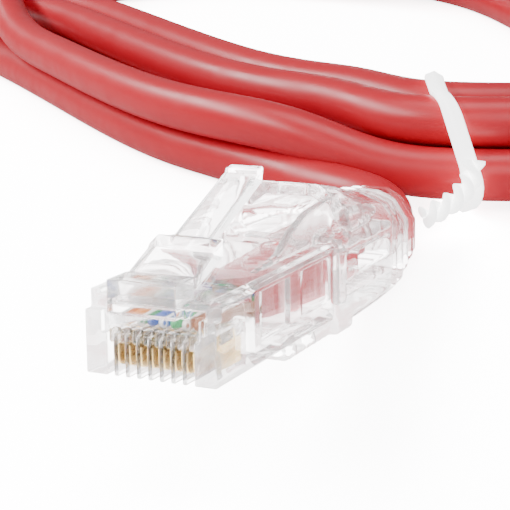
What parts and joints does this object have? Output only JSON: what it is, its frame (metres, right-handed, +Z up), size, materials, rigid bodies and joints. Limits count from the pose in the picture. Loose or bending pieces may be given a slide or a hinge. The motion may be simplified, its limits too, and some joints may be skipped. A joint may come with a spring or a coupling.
{
  "type": "ethernet patch cable",
  "caption": "Red round network patch cable with clear modular plugs and clear snagless boots, wound in an oval coil and held by a white twist tie.",
  "frame": {"origin": "under the middle of the near plug and its boot, on the surface that the cable lies on", "axes": "+X across the near plug, +Y from its nose back along the plug towards the coil, +Z up; the near plug points nose up by 10 degrees"},
  "size_m": [0.1628, 0.1949, 0.0298],
  "materials": {
    "clear_plastic": "clear moulded polycarbonate, glossy",
    "clear_boot": "clear flexible boot plastic, slightly milky",
    "spline_plastic": "natural polyethylene",
    "cable_jacket": "satin red PVC jacket",
    "gold_contact": "gold-plated phosphor bronze",
    "tie_plastic": "white plastic-coated wire tie",
    "wire_white_orange": "polyethylene wire insulation, white orange",
    "wire_orange": "polyethylene wire insulation, orange",
    "wire_white_green": "polyethylene wire insulation, white green",
    "wire_blue": "polyethylene wire insulation, blue",
    "wire_white_blue": "polyethylene wire insulation, white blue",
    "wire_green": "polyethylene wire insulation, green",
    "wire_white_brown": "polyethylene wire insulation, white brown",
    "wire_brown": "polyethylene wire insulation, brown"
  },
  "bodies": {
    "cable": {"plug_housing_a": "clear_plastic", "load_bar_a": "clear_plastic", "cable_clamp_a": "clear_plastic", "boot_a": "clear_boot", "pair_spline_a": "spline_plastic", "jacket_end_a": "cable_jacket", "contact_a_1": "gold_contact", "conductor_a_1": "wire_white_orange", "contact_a_2": "gold_contact", "conductor_a_2": "wire_orange", "contact_a_3": "gold_contact", "conductor_a_3": "wire_white_green", "contact_a_4": "gold_contact", "conductor_a_4": "wire_blue", "contact_a_5": "gold_contact", "conductor_a_5": "wire_white_blue", "contact_a_6": "gold_contact", "conductor_a_6": "wire_green", "contact_a_7": "gold_contact", "conductor_a_7": "wire_white_brown", "contact_a_8": "gold_contact", "conductor_a_8": "wire_brown", "plug_housing_b": "clear_plastic", "load_bar_b": "clear_plastic", "cable_clamp_b": "clear_plastic", "boot_b": "clear_boot", "pair_spline_b": "spline_plastic", "jacket_end_b": "cable_jacket", "contact_b_1": "gold_contact", "conductor_b_1": "wire_white_orange", "contact_b_2": "gold_contact", "conductor_b_2": "wire_orange", "contact_b_3": "gold_contact", "conductor_b_3": "wire_white_green", "contact_b_4": "gold_contact", "conductor_b_4": "wire_blue", "contact_b_5": "gold_contact", "conductor_b_5": "wire_white_blue", "contact_b_6": "gold_contact", "conductor_b_6": "wire_green", "contact_b_7": "gold_contact", "conductor_b_7": "wire_white_brown", "contact_b_8": "gold_contact", "conductor_b_8": "wire_brown", "cable_lead_a": "cable_jacket", "cable_coil": "cable_jacket", "cable_lead_b": "cable_jacket", "twist_tie": "tie_plastic"},
    "latch_a": {"latch_a": "clear_plastic"},
    "latch_b": {"latch_b": "clear_plastic"}
  },
  "joints": [
    {"name": "latch_a_press", "type": "hinge", "parent": "cable", "child": "latch_a", "pos_m": [0, -0.02139, 0.01613], "axis": [-1, 0, 0], "range_deg": [0, 16], "stiffness_Nm_per_rad": 0.15},
    {"name": "latch_b_press", "type": "hinge", "parent": "cable", "child": "latch_b", "pos_m": [-0.0249, 0.154, 0.0227], "axis": [0, -1, 0], "range_deg": [0, 16], "stiffness_Nm_per_rad": 0.15}
  ]
}
